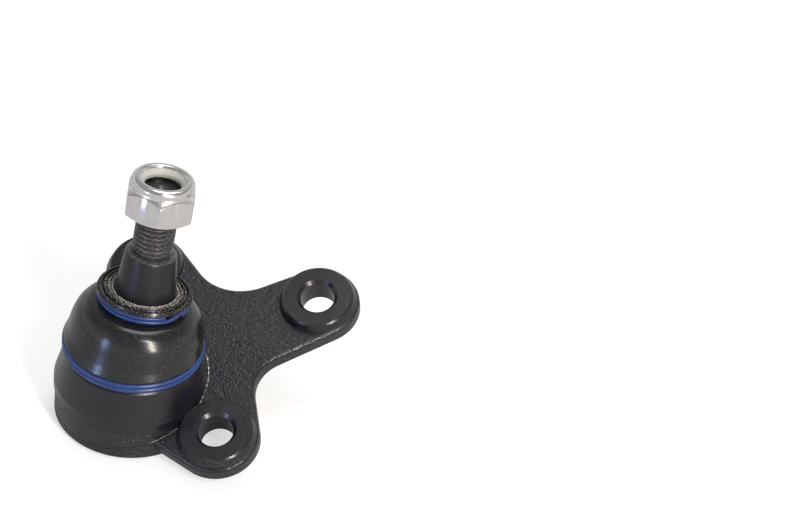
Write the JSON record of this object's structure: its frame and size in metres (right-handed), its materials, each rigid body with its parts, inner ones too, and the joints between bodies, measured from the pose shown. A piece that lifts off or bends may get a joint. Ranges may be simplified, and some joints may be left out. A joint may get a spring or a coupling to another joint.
{
  "type": "suspension ball joint",
  "caption": "Suspension ball joint with a leaning three-lobed bolt-on flange, tapered stud, rubber dust boot with wire rings and a self-locking nut.",
  "frame": {"origin": "centre of the ball", "axes": "+Z along the housing's axis towards the stud, +X horizontal in the direction in which the flange rises"},
  "size_m": [0.0881, 0.0818, 0.0841],
  "materials": {
    "forging": "satin black paint over forged steel",
    "stud": "black phosphated and oiled",
    "race": "black acetal",
    "phosphated_steel": "grey-brown phosphate",
    "boot": "moulded black chloroprene",
    "coated_wire": "royal blue coated wire",
    "zinc_plate": "bright zinc plate",
    "nylon": "natural nylon"
  },
  "bodies": {
    "housing": {"flange_housing": "forging", "upper_bearing_shell": "race", "closing_ring": "phosphated_steel", "boot_lower_ring": "coated_wire"},
    "azimuth": {"lower_bearing_shell": "race", "dust_boot": "boot"},
    "collar": {"boot_upper_ring": "coated_wire"},
    "stud": {"ball_stud": "stud", "lock_nut": "zinc_plate", "nut_insert": "nylon"}
  },
  "joints": [
    {"name": "stud_azimuth", "type": "hinge", "parent": "housing", "child": "azimuth", "pos_m": [0, 0, 0], "axis": [0, 0, 1], "continuous": true},
    {"name": "stud_swing", "type": "hinge", "parent": "azimuth", "child": "collar", "pos_m": [0, 0, 0], "axis": [-0.1564, 0.9877, 0], "range_deg": [-31, 13], "deforming": ["dust_boot"]},
    {"name": "stud_spin", "type": "hinge", "parent": "collar", "child": "stud", "pos_m": [0, 0, 0], "axis": [0.1545, 0.0245, 0.9877], "continuous": true}
  ]
}
